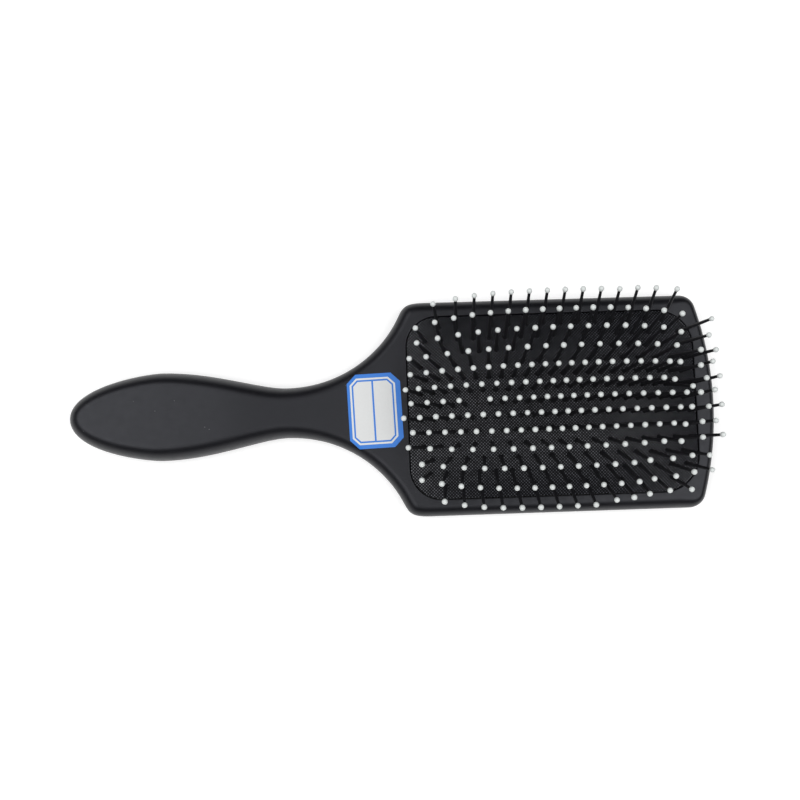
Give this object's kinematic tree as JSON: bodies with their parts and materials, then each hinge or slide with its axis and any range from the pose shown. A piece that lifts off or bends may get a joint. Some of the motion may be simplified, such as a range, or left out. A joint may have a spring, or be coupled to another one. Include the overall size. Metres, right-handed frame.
{
  "type": "paddle hair brush",
  "caption": "Rectangular paddle hair brush: hollow two-shell body with a waisted handle, domed rubber air cushion and rows of ball-tipped pins.",
  "frame": {"origin": "on the flat back face of the body, under the middle of the cushion", "axes": "+X towards the free end of the head, -X down the handle, +Y across the head, +Z from the back face towards the pins"},
  "size_m": [0.2495, 0.0834, 0.0409],
  "materials": {
    "body_coating": "charcoal soft-touch coating, matte",
    "cushion_rubber": "black rubber with a fine diamond knurl",
    "frame_plastic": "plain moulded plastic, unseen inside",
    "pin_nylon": "black nylon, satin",
    "pin_tip_resin": "pale grey resin, satin",
    "label_paper": "blank off-white paper with a blue border, matte"
  },
  "bodies": {
    "brush_body": {"front_shell": "body_coating", "back_shell": "body_coating", "pad_retaining_frame": "frame_plastic", "neck_label": "label_paper"},
    "cushion": {"cushion_pad": "cushion_rubber"},
    "pin_row_01": {"pin_row_01": "pin_nylon"},
    "pin_row_02": {"pin_row_02": "pin_nylon"},
    "pin_row_03": {"pin_row_03": "pin_nylon"},
    "pin_row_04": {"pin_row_04": "pin_nylon"},
    "pin_row_05": {"pin_row_05": "pin_nylon"},
    "pin_row_06": {"pin_row_06": "pin_nylon"},
    "pin_row_07": {"pin_row_07": "pin_nylon"},
    "pin_row_08": {"pin_row_08": "pin_nylon"},
    "pin_row_09": {"pin_row_09": "pin_nylon"},
    "pin_row_10": {"pin_row_10": "pin_nylon"},
    "pin_row_11": {"pin_row_11": "pin_nylon"},
    "pin_row_12": {"pin_row_12": "pin_nylon"},
    "pin_row_13": {"pin_row_13": "pin_nylon"}
  },
  "joints": [
    {"name": "cushion_press", "type": "slide", "parent": "brush_body", "child": "cushion", "axis": [0, 0, 1], "range_m": [-0.003, 0], "stiffness_N_per_m": 2500, "deforming": ["cushion_pad"]},
    {"name": "pin_row_01_rock", "type": "hinge", "parent": "cushion", "child": "pin_row_01", "pos_m": [0.00046, 0.03105, 0.01451], "axis": [1, 0.0079, 0], "range_deg": [-8, 8], "stiffness_Nm_per_rad": 0.05},
    {"name": "pin_row_02_rock", "type": "hinge", "parent": "cushion", "child": "pin_row_02", "pos_m": [0.0005, 0.02595, 0.01653], "axis": [1, 0.0079, 0], "range_deg": [-8, 8], "stiffness_Nm_per_rad": 0.05},
    {"name": "pin_row_03_rock", "type": "hinge", "parent": "cushion", "child": "pin_row_03", "pos_m": [0.00054, 0.02085, 0.01818], "axis": [1, 0.0079, 0], "range_deg": [-8, 8], "stiffness_Nm_per_rad": 0.05},
    {"name": "pin_row_04_rock", "type": "hinge", "parent": "cushion", "child": "pin_row_04", "pos_m": [0.00058, 0.01575, 0.01886], "axis": [1, 0.0079, 0], "range_deg": [-8, 8], "stiffness_Nm_per_rad": 0.05},
    {"name": "pin_row_05_rock", "type": "hinge", "parent": "cushion", "child": "pin_row_05", "pos_m": [0.00062, 0.01065, 0.01972], "axis": [1, 0.0079, 0], "range_deg": [-8, 8], "stiffness_Nm_per_rad": 0.05},
    {"name": "pin_row_06_rock", "type": "hinge", "parent": "cushion", "child": "pin_row_06", "pos_m": [0.00066, 0.00555, 0.01969], "axis": [1, 0.0079, 0], "range_deg": [-8, 8], "stiffness_Nm_per_rad": 0.05},
    {"name": "pin_row_07_rock", "type": "hinge", "parent": "cushion", "child": "pin_row_07", "pos_m": [0.0007, 0.00045, 0.01999], "axis": [1, 0.0079, 0], "range_deg": [-8, 8], "stiffness_Nm_per_rad": 0.05},
    {"name": "pin_row_08_rock", "type": "hinge", "parent": "cushion", "child": "pin_row_08", "pos_m": [0.00074, -0.00465, 0.0197], "axis": [1, 0.0079, 0], "range_deg": [-8, 8], "stiffness_Nm_per_rad": 0.05},
    {"name": "pin_row_09_rock", "type": "hinge", "parent": "cushion", "child": "pin_row_09", "pos_m": [0.00078, -0.00975, 0.01978], "axis": [1, 0.0079, 0], "range_deg": [-8, 8], "stiffness_Nm_per_rad": 0.05},
    {"name": "pin_row_10_rock", "type": "hinge", "parent": "cushion", "child": "pin_row_10", "pos_m": [0.00082, -0.01485, 0.01898], "axis": [1, 0.0079, 0], "range_deg": [-8, 8], "stiffness_Nm_per_rad": 0.05},
    {"name": "pin_row_11_rock", "type": "hinge", "parent": "cushion", "child": "pin_row_11", "pos_m": [0.00086, -0.01995, 0.01839], "axis": [1, 0.0079, 0], "range_deg": [-8, 8], "stiffness_Nm_per_rad": 0.05},
    {"name": "pin_row_12_rock", "type": "hinge", "parent": "cushion", "child": "pin_row_12", "pos_m": [0.0009, -0.02505, 0.01685], "axis": [1, 0.0079, 0], "range_deg": [-8, 8], "stiffness_Nm_per_rad": 0.05},
    {"name": "pin_row_13_rock", "type": "hinge", "parent": "cushion", "child": "pin_row_13", "pos_m": [0.00094, -0.03015, 0.01498], "axis": [1, 0.0079, 0], "range_deg": [-8, 8], "stiffness_Nm_per_rad": 0.05}
  ]
}
